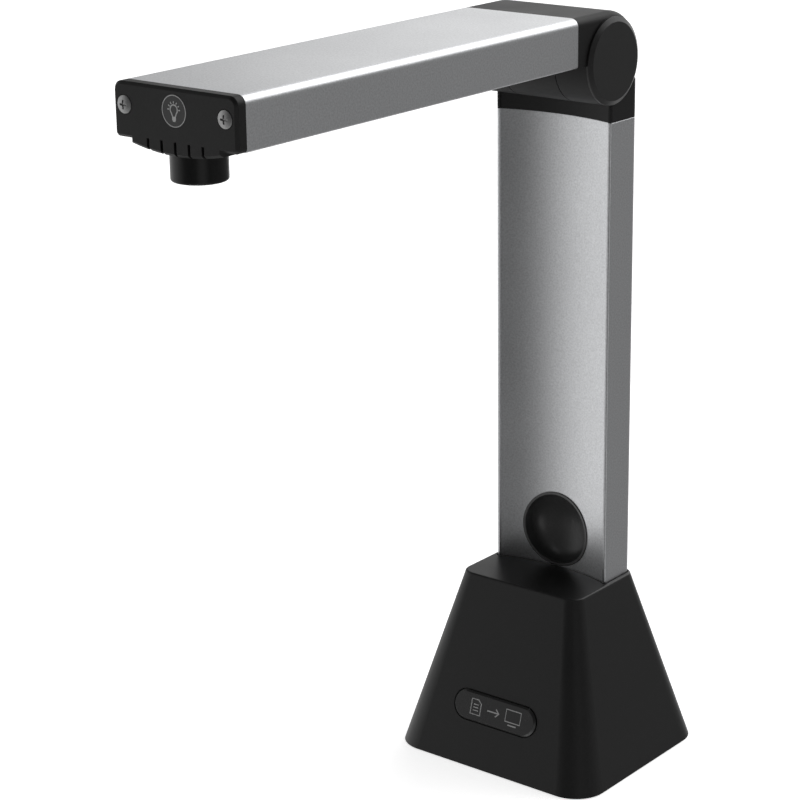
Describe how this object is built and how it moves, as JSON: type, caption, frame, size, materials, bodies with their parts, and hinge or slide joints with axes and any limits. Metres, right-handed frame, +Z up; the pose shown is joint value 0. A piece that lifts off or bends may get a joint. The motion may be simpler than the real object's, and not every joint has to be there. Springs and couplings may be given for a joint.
{
  "type": "document camera",
  "caption": "Desk document camera: tapered black base, silver extruded upright and a fold-down camera arm with lens, lamp and touch key.",
  "frame": {"origin": "centre of the base's footprint on the desk, under its rubber feet", "axes": "+Z up, the arm reaches out to -Y over the page, +X to the right as seen from behind the page looking at the upright's front"},
  "size_m": [0.093, 0.2411, 0.2934],
  "materials": {
    "black_plastic": "satin black, fine moulded texture",
    "hinge_plastic": "satin black",
    "cap_plastic": "satin black, faint turned sheen",
    "cup_plastic": "semi-gloss black",
    "barrel_plastic": "matte black",
    "label_plastic": "semi-gloss black",
    "key_plastic": "smooth black with a printed grey ring and bulb",
    "anodised_aluminium": "sand-blasted, clear anodised",
    "screw_steel": "zinc plated",
    "socket_steel": "plain",
    "bush_brass": "turned",
    "ballast_iron": "painted",
    "foot_rubber": "matte",
    "circuit_board": "green solder mask",
    "lens_glass": "coated",
    "sensor_ceramic": "smooth",
    "led_yellow": "phosphor yellow",
    "lamp_diffuser": "frosted"
  },
  "bodies": {
    "stand": {"base_housing": "black_plastic", "base_bottom_cover": "black_plastic", "bottom_cover_screws": "screw_steel", "rubber_feet": "foot_rubber", "ballast_weight": "ballast_iron", "label_plate": "label_plastic", "usb_receptacle": "socket_steel", "usb_tongue": "black_plastic", "usb_board": "circuit_board", "column_socket": "black_plastic", "column_fixing_screws": "screw_steel", "column_extrusion": "anodised_aluminium", "lens_parking_cup": "cup_plastic", "column_top_collar": "hinge_plastic", "collar_screws": "screw_steel", "hinge_bushes": "bush_brass", "friction_clips": "screw_steel"},
    "arm": {"hinge_shaft": "socket_steel", "shaft_rings": "screw_steel", "arm_hinge_shell": "hinge_plastic", "hinge_cap_left": "cap_plastic", "hinge_cap_right": "cap_plastic", "arm_extrusion": "anodised_aluminium", "arm_joint_screws": "screw_steel", "end_cap": "black_plastic", "end_cap_screws": "screw_steel", "touch_key_window": "key_plastic", "touch_sensor_board": "circuit_board", "camera_housing": "black_plastic", "lens_barrel": "barrel_plastic", "lens_front_glass": "lens_glass", "lens_elements": "lens_glass", "image_sensor": "sensor_ceramic", "camera_board": "circuit_board", "led_board": "circuit_board", "led_chips": "led_yellow", "led_window": "lamp_diffuser"}
  },
  "joints": [
    {"name": "arm_fold", "type": "hinge", "parent": "stand", "child": "arm", "pos_m": [0, 0.0014, 0.2755], "axis": [1, 0, 0], "range_deg": [0, 90]}
  ]
}
